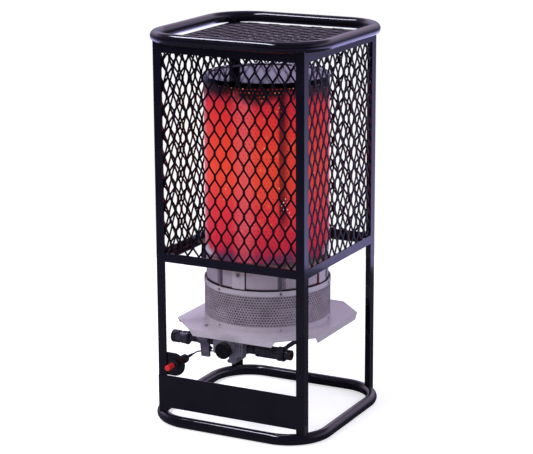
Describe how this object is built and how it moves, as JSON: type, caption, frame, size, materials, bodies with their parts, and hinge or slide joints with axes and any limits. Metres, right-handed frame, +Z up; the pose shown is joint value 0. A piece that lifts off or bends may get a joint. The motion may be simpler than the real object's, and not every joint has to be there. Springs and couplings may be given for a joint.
{
  "type": "radiant gas heater",
  "caption": "Portable radiant gas heater: a round glowing emitter on a drum burner, guarded by a square cage of angle iron and expanded metal between two tube rings.",
  "frame": {"origin": "on the floor under the middle of the burner", "axes": "+Z up, -Y is the front with the knob and the igniter, +X to the right seen from the front"},
  "size_m": [0.407, 0.407, 0.838],
  "materials": {
    "frame_paint": "gloss black powder coat",
    "guard_paint": "gloss black dipped enamel",
    "zinc_sheet": "galvanised, smooth",
    "intake_mesh": "perforated galvanised sheet",
    "hot_screen": "perforated stainless steel, red hot",
    "stainless": "stainless sheet, heat tinted",
    "cast_burner": "as cast",
    "cast_zinc": "die cast, tumbled",
    "brass": "turned",
    "copper": "drawn copper tube",
    "screws": "zinc plated",
    "knob_plastic": "moulded phenolic",
    "black_fittings": "black enamel",
    "moulded_black": "moulded",
    "red_plastic": "moulded",
    "boot_rubber": "moulded silicone rubber",
    "lead_silicone": "silicone sleeve",
    "electrode_ceramic": "glazed"
  },
  "bodies": {
    "root": {"bottom_ring": "frame_paint", "top_ring": "frame_paint", "post_front_left": "frame_paint", "post_front_right": "frame_paint", "post_back_right": "frame_paint", "post_back_left": "frame_paint", "mid_rail_front": "frame_paint", "mid_rail_right": "frame_paint", "mid_rail_back": "frame_paint", "mid_rail_left": "frame_paint", "top_rail_front": "frame_paint", "top_rail_right": "frame_paint", "top_rail_back": "frame_paint", "top_rail_left": "frame_paint", "front_plate": "frame_paint", "igniter_plate": "frame_paint", "hanger_gussets": "frame_paint", "plate_stiffeners": "frame_paint", "guard_mesh_front": "guard_paint", "guard_mesh_right": "guard_paint", "guard_mesh_back": "guard_paint", "guard_mesh_left": "guard_paint", "top_grille": "guard_paint", "base_plate": "zinc_sheet", "burner_drum": "zinc_sheet", "drum_floor": "zinc_sheet", "burner_straps": "zinc_sheet", "ring_standoffs": "zinc_sheet", "intake_top_band": "zinc_sheet", "intake_foot_ring": "zinc_sheet", "pipe_bracket": "zinc_sheet", "intake_screen": "intake_mesh", "emitter_screen": "hot_screen", "emitter_top_cap": "stainless", "inner_cone": "stainless", "burner_tube": "stainless", "pilot_burner": "stainless", "burner_head": "cast_burner", "valve_body": "cast_zinc", "valve_bonnet": "cast_zinc", "orifice_spud": "brass", "inlet_insert": "brass", "supply_tube": "copper", "thermocouple": "copper", "sheet_screws": "screws", "rivets": "screws", "igniter_nut": "screws", "manifold_pipe": "black_fittings", "inlet_body": "black_fittings", "tilt_switch": "moulded_black", "igniter_body": "moulded_black", "igniter_boot": "boot_rubber", "igniter_lead": "lead_silicone", "spark_electrode": "electrode_ceramic"},
    "plunger": {"valve_plunger": "brass"},
    "knob": {"control_knob": "knob_plastic", "valve_stem": "brass"},
    "button": {"igniter_button": "red_plastic"},
    "sleeve": {"coupler_sleeve": "black_fittings"},
    "nut": {"swivel_nut": "black_fittings"}
  },
  "joints": [
    {"name": "knob_push", "type": "slide", "parent": "root", "child": "plunger", "axis": [0, 1, 0], "range_m": [0, 0.005], "stiffness_N_per_m": 900, "springref_m": -0.001},
    {"name": "knob_turn", "type": "hinge", "parent": "plunger", "child": "knob", "pos_m": [-0.01, -0.18, 0.183], "axis": [0, -1, 0], "range_deg": [0, 180]},
    {"name": "igniter_press", "type": "slide", "parent": "root", "child": "button", "axis": [0, 1, 0], "range_m": [0, 0.006], "stiffness_N_per_m": 1200, "springref_m": -0.001},
    {"name": "sleeve_slide", "type": "slide", "parent": "root", "child": "sleeve", "axis": [-1, 0, 0], "range_m": [0, 0.0035], "stiffness_N_per_m": 2000, "springref_m": -0.001},
    {"name": "nut_spin", "type": "hinge", "parent": "root", "child": "nut", "pos_m": [-0.132, -0.143, 0.185], "axis": [1, 0, 0], "continuous": true}
  ]
}
